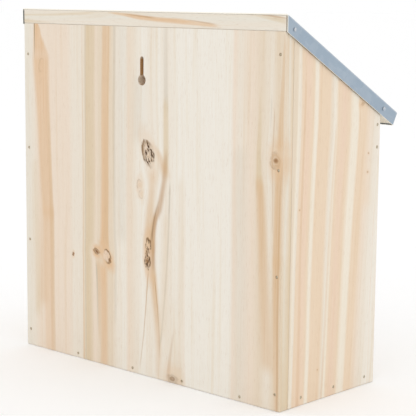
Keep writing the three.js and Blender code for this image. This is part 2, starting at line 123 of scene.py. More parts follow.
BACK_STREAKS = [
    Streak((134, 296), (127, 262), (1.2, 8.0), (1.0, 0.8), "amber", 0, 0.2),
    Streak((127, 263), (121, 120), (8.2, 5.4), (0.85, 0.6), "amber", 0.6, 0.3),
    Streak((121, 128), (119, -4), (5.2, 4.6), (0.55, 0.4), "amber", 0, 0.4),
    Streak((125, 214), (127, 40), (5, 5), (0.15, 0.5), "honey", 0, 0.8),
    Streak((119, 240), (115, 120), (1.0, 2.4), (0.4, 0.9), "honey"),
    Streak((115, 128), (114, -4), (2.4, 2.4), (0.9, 0.5), "honey"),
    Streak((137, 170), (134, 30), (3.4, 3), (0.25, 0.5), "khaki", 0, 0.8),
    Streak((135.4, 293), (134.5, 262), (0.5, 0.3), (0.9, 0.5), "bark"),
    Streak((128, 272), (127.5, 236), (0.4, 0.4), (0.5, 0.5), "honey"),
    Streak((66, 294), (67, -4), (2.8, 4.4), (0.85, 0.85), "khaki", 0, 0.8),
    Streak((60.5, 294), (61, 100), (2.4, 2.8), (0.8, 0.6), "khaki", 0, 0.8),
    Streak((69.5, 294), (70.5, -4), (0.4, 0.6), (0.5, 0.5), "grey"),
    Streak((73.5, 294), (73, -4), (0.6, 0.8), (0.3, 0.7), "honey"),
    Streak((44, 294), (46, 100), (3.9, 4.0), (0.6, 1.0), "amber", 0, 0.35),
    Streak((44, 230), (44.5, 104), (1.6, 2), (0.2, 1.0), "honey", 0, 0.7),
    Streak((41, 294), (42, 104), (0.5, 0.7), (0.3, 0.7), "honey"),
    Streak((47, 88), (47, -4), (3.4, 3.8), (0.9, 0.6), "amber"),
    Streak((53.5, 90), (53, 20), (2.4, 1.2), (0.75, 0.3), "honey"),
    Streak((55.5, 86), (55, 30), (0.9, 0.7), (0.8, 0.2), "grey"),
    Streak((34, 294), (33, 40), (1.4, 1.2), (0.45, 0.25), "grey"),
    Streak((15, 294), (14, -4), (5, 4), (0.15, 0.1), "khaki", 0, 0.9),
    Streak((-25.5, 292), (-26, 222), (2, 2), (0.25, 0.5), "grey"),
    Streak((-25.5, 232), (-24.5, 172), (2.4, 3.2), (0.7, 0.7), "khaki"),
    Streak((-10, 196), (-24, 171), (2, 5), (0.4, 0.85), "honey", -2, 0.9),
    Streak((-25, 190), (-16.5, 137), (1.8, 2.8), (0.5, 0.8), "tan", -1.9, 0.8),
    Streak((-16.2, 141), (-9.6, 108), (2.6, 2.6), (0.8, 1.0), "tan", 1.8),
    Streak((-9.5, 172), (-7, 112), (3.5, 3.6), (0.4, 0.9), "honey", 0, 0.8),
    Streak((-9.8, 113), (-11.4, 86), (2.3, 2.4), (1.0, 0.7), "tan", 0.8, 0.7),
    Streak((-10.6, 91), (-20, -4), (3.2, 3), (1.0, 0.25), "honey", -2.2, 0.8),
    Streak((-13.5, 84), (-20, 20), (0.5, 0.7), (0.8, 0.3), "tan", -1.5),
    Streak((-18, 150), (-8.2, 112), (0.5, 1.0), (0.2, 0.8), "bark", 1.2),
    Streak((-30.5, 164), (-21, 30), (0.8, 0.8), (0.7, 0.6), "grey", -2),
    Streak((-27, 138), (-22, 36), (4, 3.4), (0.45, 0.6), "sand", -1, 0.9),
    Streak((-6.5, 90), (3, 8), (0.5, 0.6), (0.7, 0.3), "tan", -1),
    Streak((-43, 170), (-43, -4), (2.2, 2.6), (0.4, 0.7), "sand", 0, 0.9),
    Streak((-48, 170), (-47, -4), (1, 1.2), (0.2, 0.5), "blush"),
    Streak((-33, 70), (-40, -4), (3, 7), (0.25, 0.5), "sand", 1.5),
    Streak((-36, 42), (-31, 2), (0.8, 1.6), (0.2, 0.4), "tan", 1),
    Streak((-126, 244), (-127, 168), (0.7, 3), (0.35, 0.95), "khaki"),
    Streak((-127, 178), (-137, 30), (3.2, 5.4), (0.9, 0.6), "honey", 0, 0.7),
    Streak((-148.6, 284), (-145.5, 200), (0.8, 2.4), (0.4, 0.9), "honey"),
    Streak((-145.2, 196), (-145.2, 112), (2.8, 3.4), (0.8, 1.0), "honey"),
    Streak((-145.2, 120), (-146.6, -4), (3.4, 2), (1.0, 0.5), "honey", 0.6),
    Streak((-150.6, 120), (-150.6, -4), (1.6, 2), (0.2, 0.8), "khaki"),
    Streak((-147, 190), (-147, -4), (0.7, 0.9), (0.2, 0.6), "tan"),
    Streak((-107, 200), (-108, -4), (6, 7), (0.2, 0.15), "grey", 0, 0.9),
    Streak((25, 294), (25, 110), (5, 5), (0.2, 0.25), "grey", 0, 0.9),
    Streak((5, 250), (5, 196), (6, 6), (0.2, 0.25), "grey", 0, 0.9),
    Streak((-140, 232), (-140, 140), (0.4, 0.5), (0.45, 0.3), "tan"),
    Streak((-137, 240), (-137, 218), (0.6, 0.5), (0.4, 0.3), "grey"),
]

BACK_KNOTS = [
    Knot(-6.2, 188, 6.2, 11, 0.5, 0.9, 1.0, 0, 0.3, "heart", -0.34, 0.6),
    Knot(3.5, 161, 4.0, 4.4, 0.5, 0.25, 0, 0, 0.3, "honey", 0.1, 0, 0.7),
    Knot(2.0, 153.5, 3.2, 3.6, 0.4, 0.2, 0, 0, 0.2, "honey", -0.4, 0, 0.7),
    Knot(56, 98, 4.8, 2.5, 1.0, 0.7, 0.3, 0.7, 1.0, "core", 0.35, 0, 0.7),
    Knot(43.8, 95.2, 4.8, 5.9, 0.85, 1.0, 0.1, 0, 1.0, "rose", -0.6, -2.7),
    Knot(39.8, 92.5, 1.6, 2.2, 0.8, 0.8, 0.4, 0.8, 0.6, "core", -0.4, 0, 0.6),
    Knot(-6.2, 110.5, 3.6, 7.4, 0.5, 1.0, 1.0, 0, 0.6, "honey", 0.05, 1.2),
    Knot(-5.4, 98, 3.6, 7.6, 0.85, 0.9, 1.0, 0.9, 0.6, "tan", -0.1, 3.0, 0.5),
    Knot(-35.5, 3.5, 8.4, 5.6, 0.6, 0, 0, 0.35, 0.35, "bark", 0, 1.5, 0.85, 0.2),
    Knot(-142.3, 194, 6, 6.8, 0.6, 0.3, 0, 0.8, 0.5, "heart", 0, 0, 0.5),
    Knot(86.5, 91.8, 1.5, 1.7, 1.0, 0.6, 0, 0.9, 0.5, "core"),
    Knot(127, 254, 4, 6, 0.1, 0.15, 0, 0, 0, "honey", 0.2, 0, 0.5),
]

SIDE_TONES = tone_list(
    (0, "honey"), (3, "sand"), (8.5, "sand"), (10.5, "cream"), (12.8, "pale"), (14.5, "peach"),
    (21, "rose"), (27, "peach"), (29.3, "cream"), (31.5, "cream"), (33.5, "peach"),
    (45.5, "peach"), (49.5, "pale"), (53, "cream"), (55.5, "peach"), (62, "rose"), (68, "peach"),
    (72.5, "cream"), (78, "cream"), (81, "peach"), (88, "peach"), (93, "blush"), (100, "pale"),
    (112, "chalk"), (121, "pale"),
)

SIDE_STREAKS = [
    Streak((98, 214), (100, 150), (4, 8), (0.2, 0.7), "peach", 0, 0.9),
    Streak((24, 252), (20, -4), (1, 1.4), (0.3, 0.5), "honey"),
    Streak((63, 214), (50, -4), (0.8, 1.2), (0.3, 0.4), "honey"),
    Streak((116, 150), (112, -4), (0.6, 0.6), (0.3, 0.3), "blush"),
]

SIDE_KNOTS = [
    Knot(96, 232, 2.8, 1.6, 0.6, 0.3, 0, 0.2, 0.4, "heart", 0.3, 0, 0.7),
    Knot(106, 192, 1.2, 0.9, 0.7, 0, 0, 0.4, 0.3),
    Knot(105.5, 177, 1.4, 1.0, 0.7, 0, 0, 0.4, 0.3),
    Knot(20, 155, 1.1, 0.8, 0.7, 0, 0, 0.4, 0.3),
    Knot(46, 25, 1.0, 0.9, 0.5, 0, 0, 0.3, 0.3),
]

RIGHT_SIDE_TONES = tone_list(
    (0, "pale"), (14, "blush"), (19, "cream"), (24, "peach"), (38, "sand"), (43, "pale"),
    (56, "peach"), (61, "cream"), (78, "blush"), (97, "peach"), (103, "pale"), (121, "chalk"),
)

DOOR_TONES = tone_list(
    (-140, "pale"), (-121, "blush"), (-116, "peach"), (-101, "sand"), (-99, "chalk"),
    (-68, "pale"), (-51, "cream"), (-33, "sand"), (-30.5, "blush"), (-8, "peach"), (4, "pale"),
    (27, "chalk"), (39, "pale"), (41, "sand"), (63, "blush"), (80, "cream"), (104, "chalk"),
    (118, "blush"), (140, "sand"),
)

DOOR_STREAKS = [
    Streak((-108, 204), (-106, 10), (3, 4.5), (0.8, 0.6), "amber"),
    Streak((-22, 204), (-18, 10), (2.6, 1.4), (0.5, 0.7), "khaki"),
    Streak((52, 204), (57, 10), (1.2, 3.2), (0.4, 0.7), "tan"),
    Streak((99, 130), (96, 10), (0.8, 2.4), (0.3, 0.7), "amber"),
    Streak((134, 204), (131, 10), (2.4, 1.8), (0.6, 0.4), "khaki"),
]

DOOR_KNOTS = [
    Knot(-19, 62, 4.6, 6.6, 0.6, 0.6, 0.5, 0.2, 0.4),
    Knot(98, 128, 2.4, 3.4, 0.7, 0.8, 0.3, 0.4, 0.5),
    Knot(-88, 176, 1.4, 1.8, 0.8, 0.5, 0, 0.5, 0.3),
]

# The silver stops at the front end, from 50 to 90 mm, are painted light: they stand for the light
# bounced up onto the underside of the overhang.
ROOF_TONES = tone_list(
    (50, "silver"), (90, "silver"), (100, "pale"), (140, "sand"), (170, "pale"), (203, "silver"),
    (206, "pale"), (208, "silver"), (212, "pale"),
)

ROOF_STREAKS = [
    Streak((209.9, 38), (208.4, 4), (0.3, 0.7), (0.6, 0.9), "amber"),
    Streak((208.5, 8), (207.3, -44), (0.7, 0.8), (0.9, 0.9), "amber"),
    Streak((207.3, -40), (205.5, -82), (0.8, 0.5), (0.9, 0.6), "amber"),
    Streak((209.5, 22), (208.5, -12), (0.15, 0.35), (0.5, 0.7), "tan"),
    Streak((207.9, -48), (206.3, -78), (0.15, 0.3), (0.4, 0.6), "tan"),
    Streak((210.4, -112), (207.6, -151), (0.2, 1.0), (0.3, 0.7), "khaki"),
    Streak((210.4, -118), (208.8, -150), (0.15, 0.3), (0.5, 0.7), "tan"),
    Streak((209.2, 152), (210.2, 60), (0.3, 0.4), (0.6, 0.3), "khaki"),
    Streak((206.4, 152), (206.1, 112), (0.9, 0.5), (0.6, 0.2), "khaki"),
    Streak((208, 100), (208.6, 44), (0.3, 0.5), (0.2, 0.4), "sand"),
]

CROSS_TONES = tone_list(
    (0, "pale"), (18, "blush"), (31, "sand"), (34, "chalk"), (62, "cream"), (71, "peach"),
    (92, "pale"), (110, "blush"),
)

WHITE = (1, 1, 1, 1)


# ---- Settings ------------------------------------------------------------------------------


def colour_property(name, description, code):
    return bpy.props.FloatVectorProperty(
        name=name, description=description, subtype="COLOR", min=0, max=1, default=colour(code)
    )


def length_property(name, description, millimetres):
    return bpy.props.FloatProperty(
        name=name,
        description=description,
        unit="LENGTH",
        min=0,
        precision=5,
        default=millimetres * MM,
    )


def angle_property(name, description, degrees):
    return bpy.props.FloatProperty(
        name=name, description=description, subtype="ANGLE", default=math.radians(degrees)
    )


def number_property(name, description, value):
    return bpy.props.FloatProperty(name=name, description=description, min=0, default=value)


class BirdhouseWoodSettings(bpy.types.PropertyGroup):
    """Colours and edges of the pine boards."""

    # Chalk is also mixed onto eased edges, partly as a painted highlight.
    chalk: colour_property("Chalk", "Palest, bleached wood", "ece6db")
    # Silver also stands for painted bounce light under the roof's front overhang.
    silver: colour_property("Silver", "Pale wood that has greyed", "e5dfd2")
    pale: colour_property("Pale", "Pale earlywood", "e8decf")
    cream: colour_property("Cream", "Warm pale earlywood", "ece2d1")
    blush: colour_property("Blush", "Pinkish earlywood", "e9d9c7")
    peach: colour_property("Peach", "Wide latewood bands", "e7d1b7")
    rose: colour_property("Rose", "Redder latewood", "e8cfb8")
    sand: colour_property("Sand", "Sandy wood", "e2d2bc")
    khaki: colour_property("Khaki", "Greenish tan streaks", "d9c5a5")
    amber: colour_property("Amber", "Orange resin streaks", "dfbc96")
    honey: colour_property("Honey", "Warm tan wood by the edges", "d9b994")
    tan: colour_property("Tan", "Darker streaks", "c09a72")
    grey: colour_property("Grey", "Weathered streaks", "c8bdac")
    heart: colour_property("Knot heart", "Heart of a knot", "c4a27c")
    core: colour_property("Knot core", "Darkest part of a knot", "8f6232")
    bark: colour_property("Bark", "Bark ring round a knot", "8a6a44")
    crack: colour_property("Crack", "Cracks in a knot", "543b22")
    # Painted shade: the brown of the walls of deep holes such as the keyhole, where little light
    # gets in.
    wall_shade_colour: colour_property("Wall shade", "Painted shade on the walls of deep holes", "c39a6a")
    ease: length_property("Eased edge", "Radius sanded on the boards' long edges", 0.5)
    rim: length_property("Eased rim", "Radius on the edges of holes", 0.35)


class BirdhouseMetalSettings(bpy.types.PropertyGroup):
    """Sheet, nails and the turn button."""

    zinc: colour_property("Zinc", "Galvanised sheet", "aab7c3")
    zinc_dark: colour_property("Zinc, dull", "Dull crystals in the zinc", "a0afbd")
    plated: colour_property("Plating", "Zinc plating on clout nails and screw", "c9ccd0")
    steel: colour_property("Steel", "Brads", "c0b9a4")
    rust: colour_property("Rust", "First rust on the brads", "a88f70")
    # The sheet's bare cut edge, made near white with a painted reflection of the wood below.
    shear: colour_property("Sheared edge", "Bright edge where the sheet was cut", "fbf6ea")
    bend: length_property("Bend radius", "Outer radius of the sheet's folds", 1.5)
    thickness: length_property("Sheet", "Thickness of the sheet", 0.7)
    dent: length_property("Waviness", "Depth of the sheet's waves", 0.22)


class BirdhouseStageSettings(bpy.types.PropertyGroup):
    """Camera, lights and floor."""

    azimuth: angle_property("Azimuth", "Camera's direction round the box, 0 in front", 222.854)
    elevation: angle_property("Elevation", "Camera's height over the horizon", 8.824)
    roll: angle_property("Roll", "Camera's tilt", 0.542)
    distance: length_property("Distance", "Camera to the point it aims at", 1176)
    lens: number_property("Lens", "Focal length in mm, on a 36 mm sensor", 118.87)
    aim: bpy.props.FloatVectorProperty(
        name="Aim",
        description="Aim point from the middle of the box",
        subtype="TRANSLATION",
        default=(-10.9 * MM, 4.0 * MM, -15.6 * MM),
    )
    floor: colour_property("Floor", "Pale floor", "ffffff")
    sky: number_property("Sky", "Strength of the even light all round", 1.0)
    key: number_property("Key light", "Power of the large soft light, in watts", 2)
    fill: number_property("Fill light", "Power of the light on the side, in watts", 2)


# ---- Wiring shader nodes -------------------------------------------------------------------


class Wiring:
    """Adds nodes to one tree. Each call gives back the new node's output socket."""

    def __init__(self, tree):
        self.tree = tree

    def feed(self, socket, value):
        if isinstance(value, bpy.types.NodeSocket):
            self.tree.links.new(value, socket)
        elif socket.type == "RGBA":
            socket.default_value = (*value, 1)
        else:
            socket.default_value = value

    def node(self, kind, **settings):
        node = self.tree.nodes.new(kind)
        for name, value in settings.items():
            setattr(node, name, value)
        return node

    def fed(self, kind, *values, **settings):
        """A node whose first inputs take the values in order. Gives back its first output."""
        node = self.node(kind, **settings)
        for socket, value in zip(node.inputs, values):
            self.feed(socket, value)
        return node.outputs[0]

    def math(self, operation, *values):
        return self.fed("ShaderNodeMath", *values, operation=operation)

    def total(self, first, *others):
        for other in others:
            first = self.math("ADD", first, other)
        return first

    def times(self, first, *others):
        for other in others:
            first = self.math("MULTIPLY", first, other)
        return first

    def minus(self, a, b):
        return self.math("SUBTRACT", a, b)

    def ramp(self, value, low, high, to_low=0.0, to_high=1.0, smooth=True):
        """The value's place between low and high, from to_low to to_high. A smooth one goes no
        further than that without a clamp. A clamp would be worked out late, and a board with
        many streaks would then keep too many values for the renderer."""
        values = (value, low, high, to_low, to_high)
        kind = "SMOOTHSTEP" if smooth else "LINEAR"
        return self.fed("ShaderNodeMapRange", *values, interpolation_type=kind, clamp=False)

    def parts(self, vector):
        node = self.node("ShaderNodeSeparateXYZ")
        self.feed(node.inputs[0], vector)
        return node.outputs[0], node.outputs[1], node.outputs[2]

    def vector(self, x=0.0, y=0.0, z=0.0):
        return self.fed("ShaderNodeCombineXYZ", x, y, z)

    def stretched(self, vector, x, y, z):
        return self.fed("ShaderNodeVectorMath", vector, (x, y, z), operation="MULTIPLY")

    def shifted(self, vector, by):
        return self.fed("ShaderNodeVectorMath", vector, by, operation="ADD")

    def noise(self, vector, scale=1.0, detail=2.0, roughness=0.5, distortion=0.0):
        node = self.node("ShaderNodeTexNoise")
        self.feed(node.inputs["Vector"], vector)
        self.feed(node.inputs["Scale"], scale)
        self.feed(node.inputs["Detail"], detail)
        self.feed(node.inputs["Roughness"], roughness)
        self.feed(node.inputs["Distortion"], distortion)
        return node.outputs[0]

    def attribute(self, name):
        return self.node("ShaderNodeAttribute", attribute_name=name).outputs["Fac"]

    def bump(self, height, distance):
        node = self.node("ShaderNodeBump")
        self.feed(node.inputs["Height"], height)
        self.feed(node.inputs["Distance"], distance)
        return node.outputs[0]

    def mix(self, factor, a, b, blend="MIX"):
        node = self.node("ShaderNodeMix", data_type="RGBA", blend_type=blend)
        self.feed(node.inputs[0], factor)
        self.feed(node.inputs[6], a)
        self.feed(node.inputs[7], b)
        return node.outputs[2]

    def tones(self, value, stops):
        """A colour ramp with stops of (place from 0 to 1, colour)."""
        node = self.node("ShaderNodeValToRGB")
        elements = node.color_ramp.elements
        for _ in range(len(stops) - 2):
            elements.new(0.5)
        for element, (place, _) in zip(elements, stops):
            element.position = place
        for element, (_, tone) in zip(elements, stops):
            element.color = (*tone, 1)
        self.feed(node.inputs[0], value)
        return node.outputs[0]

    def group(self, tree, **values):
        """Places a node group and returns its outputs by name."""
        node = self.node("ShaderNodeGroup", node_tree=tree)
        for name, value in values.items():
            self.feed(node.inputs[name.replace("_", " ")], value)
        return {socket.name: socket for socket in node.outputs}


def new_group(name, inputs, outputs):
    """An empty node group with named sockets: its wiring, its inputs by name, and a function
    that wires its outputs. A Place is a vector, and every other socket is a number."""
    tree = bpy.data.node_groups.new(name, "ShaderNodeTree")
    for titles, way in ((inputs, "INPUT"), (outputs, "OUTPUT")):
        for title in titles:
            kind = "NodeSocketVector" if title == "Place" else "NodeSocketFloat"
            tree.interface.new_socket(title, in_out=way, socket_type=kind)
    wires = Wiring(tree)
    given = wires.node("NodeGroupInput").outputs
    result = wires.node("NodeGroupOutput").inputs

    def give(**values):
        for title, value in values.items():
            wires.feed(result[title.replace("_", " ")], value)

    return tree, wires, given, give


# ---- Shared effects ------------------------------------------------------------------------
#
# A Place is a point of the wood in mm: x across the grain, y through the board, z along it.
# Groups that are placed many times take its parts, so that the renderer works them out once.

KNOT_PLACE = ("Across", "Along", "Knot Across", "Knot Along", "Half Across", "Half Along")
STREAK_FADE = 6.0  # how far beyond its ends a streak begins to show, in mm
HEAD_FULL = 6.0  # how far inside its start and its end a streak has its full strength, in mm
FOOT_FULL = 8.0
PITH_DEPTH = 46.0  # from the origin of a Place to the pith, through the wood, in mm


def fibre_group():
    """Fine grain: thin lines along the wood, softer streaks, and short pores."""
    outputs = ("Lines", "Streaks", "Pores", "Relief")
    tree, w, given, give = new_group("Wood fibre", ("Place",), outputs)
    place = given["Place"]
    lines = w.noise(w.stretched(place, 1.1, 1.1, 0.012), detail=3, roughness=0.65)
    streaks = w.noise(w.stretched(place, 0.22, 0.22, 0.005), detail=3, roughness=0.55)
    specks = w.noise(w.stretched(place, 2.6, 2.6, 0.16), detail=1)
    pores = w.ramp(specks, 0.62, 0.74)
    relief = w.total(w.times(lines, 0.7), w.times(streaks, 0.3), w.times(pores, -0.35))
    give(Lines=lines, Streaks=streaks, Pores=pores, Relief=relief)
    return tree


def streak_group():
    """A coloured streak between two points, wavering and frayed like the grain."""
    tree, w, given, give = new_group(
        "Wood streak",
        (
            "Across", "Along", "Fray", "Uneven", "Start Across", "Start Along", "End Across",
            "End Along", "Bow", "Start Width", "End Width", "Start Strength", "End Strength",
            "Soft",
        ),
        ("Mask",),
    )
    run = w.minus(given["Start Along"], given["End Along"])
    gone = w.minus(given["Start Along"], given["Along"])
    t = w.math("MINIMUM", w.math("MAXIMUM", w.math("DIVIDE", gone, run), 0.0), 1.0)

    def between(title):
        change = w.minus(given["End " + title], given["Start " + title])
        return w.math("MULTIPLY_ADD", change, t, given["Start " + title])

    bowed = w.times(w.times(t, w.minus(1.0, t)), 4.0, given["Bow"])
    middle = w.total(between("Across"), bowed)
    width = between("Width")
    off = w.math("ABSOLUTE", w.minus(given["Across"], middle))
    frayed = w.math("MULTIPLY_ADD", given["Fray"], w.times(width, 1.6), off)
    inner = w.times(width, w.minus(1.0, given["Soft"]))
    outer = w.times(width, w.total(1.25, given["Soft"]))
    body = w.ramp(frayed, outer, inner)
    head = w.ramp(gone, -STREAK_FADE, HEAD_FULL)
    foot = w.ramp(w.minus(run, gone), -STREAK_FADE, FOOT_FULL)
    give(Mask=w.times(body, head, foot, given["Uneven"], between("Strength")))
    return tree


def knot_group():
    """A knot: its body, growth rings, the bark on its rim, cracks, core and the stained wood
    about it."""
    tree, w, given, give = new_group(
        "Wood knot",
        (*KNOT_PLACE, "Tilt", "Side", "Soft"),
        ("Body", "Rings", "Rim", "Cracks", "Core", "Stain"),
    )
    dx = w.minus(given["Across"], given["Knot Across"])
    dz = w.minus(given["Along"], given["Knot Along"])
    cos = w.math("COSINE", given["Tilt"])
    sin = w.math("SINE", given["Tilt"])
    u = w.math("DIVIDE", w.total(w.times(dx, cos), w.times(dz, sin)), given["Half Across"])
    v = w.math("DIVIDE", w.minus(w.times(dz, cos), w.times(dx, sin)), given["Half Along"])
    seed = w.total(given["Knot Across"], w.times(given["Knot Along"], 3.1))
    inside = w.vector(u, seed, v)

    def length(x, y):
        return w.math("SQRT", w.total(w.times(x, x), w.times(y, y)))

    wobble = w.minus(w.noise(w.stretched(inside, 1.1, 1.0, 1.1), detail=3), 0.5)
    near = length(u, v)
    far = w.total(near, w.times(wobble, 0.9))
    body = w.ramp(far, 1.08, w.minus(1.0, given["Soft"]))
    rings = w.math("SINE", w.times(far, 17.0))
    patches = w.noise(w.stretched(inside, 0.9, 1.3, 0.9), detail=2)
    sideways = w.times(u, w.math("COSINE", given["Side"]))
    away = w.total(sideways, w.times(v, w.math("SINE", given["Side"])))
    turned_to = w.ramp(w.math("DIVIDE", away, w.math("MAXIMUM", near, 0.05)), -0.9, 0.5)
    band = w.times(w.ramp(far, 0.6, 0.9), w.ramp(far, 1.16, 0.98))
    rim = w.times(band, turned_to, w.ramp(patches, 0.34, 0.5))
    splits = w.noise(w.stretched(inside, 2.9, 1.9, 1.9), detail=3, roughness=0.65)
    cracks = w.times(w.ramp(splits, 0.5, 0.57), w.ramp(far, 1.02, 0.8))
    middle = length(u, w.times(v, 1.25))
    core = w.ramp(w.total(middle, w.times(wobble, 0.5)), 0.5, 0.12)
    around = w.total(length(u, w.times(v, 0.6)), w.times(wobble, 0.8))
    stain = w.times(w.ramp(around, 1.9, 0.7), w.ramp(patches, 0.25, 0.6, 0.5, 1.0))
    give(Body=body, Rings=rings, Rim=rim, Cracks=cracks, Core=core, Stain=stain)
    return tree


def push_group():
    """How far a knot pushes the grain about it aside, added to what other knots do."""
    tree, w, given, give = new_group("Grain push", (*KNOT_PLACE, "Push", "Before"), ("Drift",))
    dx = w.minus(given["Across"], given["Knot Across"])
    u = w.math("DIVIDE", dx, given["Half Across"])
    v = w.math("DIVIDE", w.minus(given["Along"], given["Knot Along"]), given["Half Along"])
    reach = w.total(w.times(u, u, 0.2), w.times(v, v, 0.12))
    fade = w.math("EXPONENT", w.times(reach, -1.0))
    give(Drift=w.minus(given["Before"], w.times(dx, fade, given["Push"])))
    return tree


def end_grain_group():
    """Cut ends: growth rings across the end, and how much of a face is end grain."""
    inputs = ("Place", "Facing", "Ring Width")
    tree, w, given, give = new_group("End grain", inputs, ("Mask", "Rings"))
    across, through, _ = w.parts(given["Place"])
    off = w.total(through, PITH_DEPTH)
    from_pith = w.math("SQRT", w.total(w.times(across, across), w.times(off, off)))
    wavy = w.total(from_pith, w.times(w.noise(given["Place"], 0.05, 3), 5.0))
    turns = w.math("FRACT", w.math("DIVIDE", wavy, given["Ring Width"]))
    mask = w.ramp(w.math("ABSOLUTE", given["Facing"]), 0.55, 0.85)
    give(Mask=mask, Rings=w.ramp(turns, 0.35, 0.95))
    return tree


def zinc_group():
    """Crystals, smears and fine scratches of a galvanised face, from a place in mm."""
    outputs = ("Crystals", "Smears", "Scratches")
    tree, w, given, give = new_group("Zinc crystals", ("Place", "Crystal"), outputs)
    bent = w.shifted(given["Place"], w.stretched(given["Place"], 0.02, 0.02, 0.02))
    cells = w.node("ShaderNodeTexVoronoi", feature="F1")
    w.feed(cells.inputs["Vector"], bent)
    w.feed(cells.inputs["Scale"], w.math("DIVIDE", 1.0, given["Crystal"]))
    tint = w.parts(cells.outputs["Color"])[0]
    smears = w.noise(w.stretched(given["Place"], 0.02, 0.045, 0.045), detail=4, roughness=0.6)
    hair = w.noise(w.stretched(given["Place"], 0.03, 1.8, 1.8), detail=2, distortion=0.4)
    give(Crystals=tint, Smears=smears, Scratches=w.ramp(hair, 0.66, 0.72))
    return tree


GROUP_MAKERS = {
    "fibre": fibre_group,
    "streak": streak_group,
    "knot": knot_group,
    "push": push_group,
    "end": end_grain_group,
    "zinc": zinc_group,
}
groups = {}


def shared(name):
    """A shared node group, made when first asked for."""
    if name not in groups:
        groups[name] = GROUP_MAKERS[name]()
    return groups[name]


# ---- Materials -----------------------------------------------------------------------------


def start_material(name):
    material = bpy.data.materials.new(name)
    material.use_nodes = True
    material.node_tree.nodes.clear()
    w = Wiring(material.node_tree)
    shader = w.node("ShaderNodeBsdfPrincipled")
    output = w.node("ShaderNodeOutputMaterial")
    material.node_tree.links.new(shader.outputs[0], output.inputs[0])
    return material, w, shader


# How the pine is laid out, in mm.
SEED_STEP = 37.0  # through the wood, from one board's grain to the next one's
WANDER = 4.0  # how far the grain strays from a straight line, from side to side
TONE_FRAY = 3.5
END_FRAY = 2.0
RING_WIDTH = 5.5  # on cut ends

# How far cracks and the bark of knots lie below the wood, the grain's own relief being 1.
CRACK_DEPTH = 2.5
RIM_DEPTH = 0.8

GRAIN_RELIEF = 0.09 * MM
ZINC_RELIEF = 0.05 * MM
RUST_RELIEF = 0.06 * MM

# What latewood lines and pale lines multiply the colour by.
WARM_LINES = (0.94, 0.885, 0.8)
PALE_LINES = (1.03, 1.05, 1.08)
SCRATCH = (0.8, 0.82, 0.84)
# Painted highlight on the sheet's folds and on eased metal edges.
FOLD_HIGHLIGHT = (0.66, 0.68, 0.7)

GRAIN_ALONG = {  # which axes run across, through and along the grain
    "upright": (0, 1, 2),
    "upright, edge on": (1, 0, 2),
    "level": (2, 1, 0),
    "lying": (1, 2, 0),
}


def wood_place(w, grain, slope):
    """The Place vector of a board, in mm, and how squarely the surface faces along the grain."""
    coordinates = w.node("ShaderNodeTexCoord")
    mapping = w.node("ShaderNodeMapping")
    w.feed(mapping.inputs["Vector"], coordinates.outputs["Object"])
    mapping.inputs["Scale"].default_value = (1 / MM,) * 3
    mapping.inputs["Rotation"].default_value = (-slope, 0, 0)
    axes = w.parts(mapping.outputs[0])
    across, through, along = (axes[i] for i in GRAIN_ALONG[grain])
    facing = w.parts(coordinates.outputs["Normal"])[GRAIN_ALONG[grain][2]]
    return w.vector(across, through, along), facing


def knot_place(knot, across, along):
    return {
        "Across": across,
        "Along": along,
        "Knot_Across": knot.across,
        "Knot_Along": knot.along,
        "Half_Across": knot.half_across,
        "Half_Along": knot.half_along,
    }


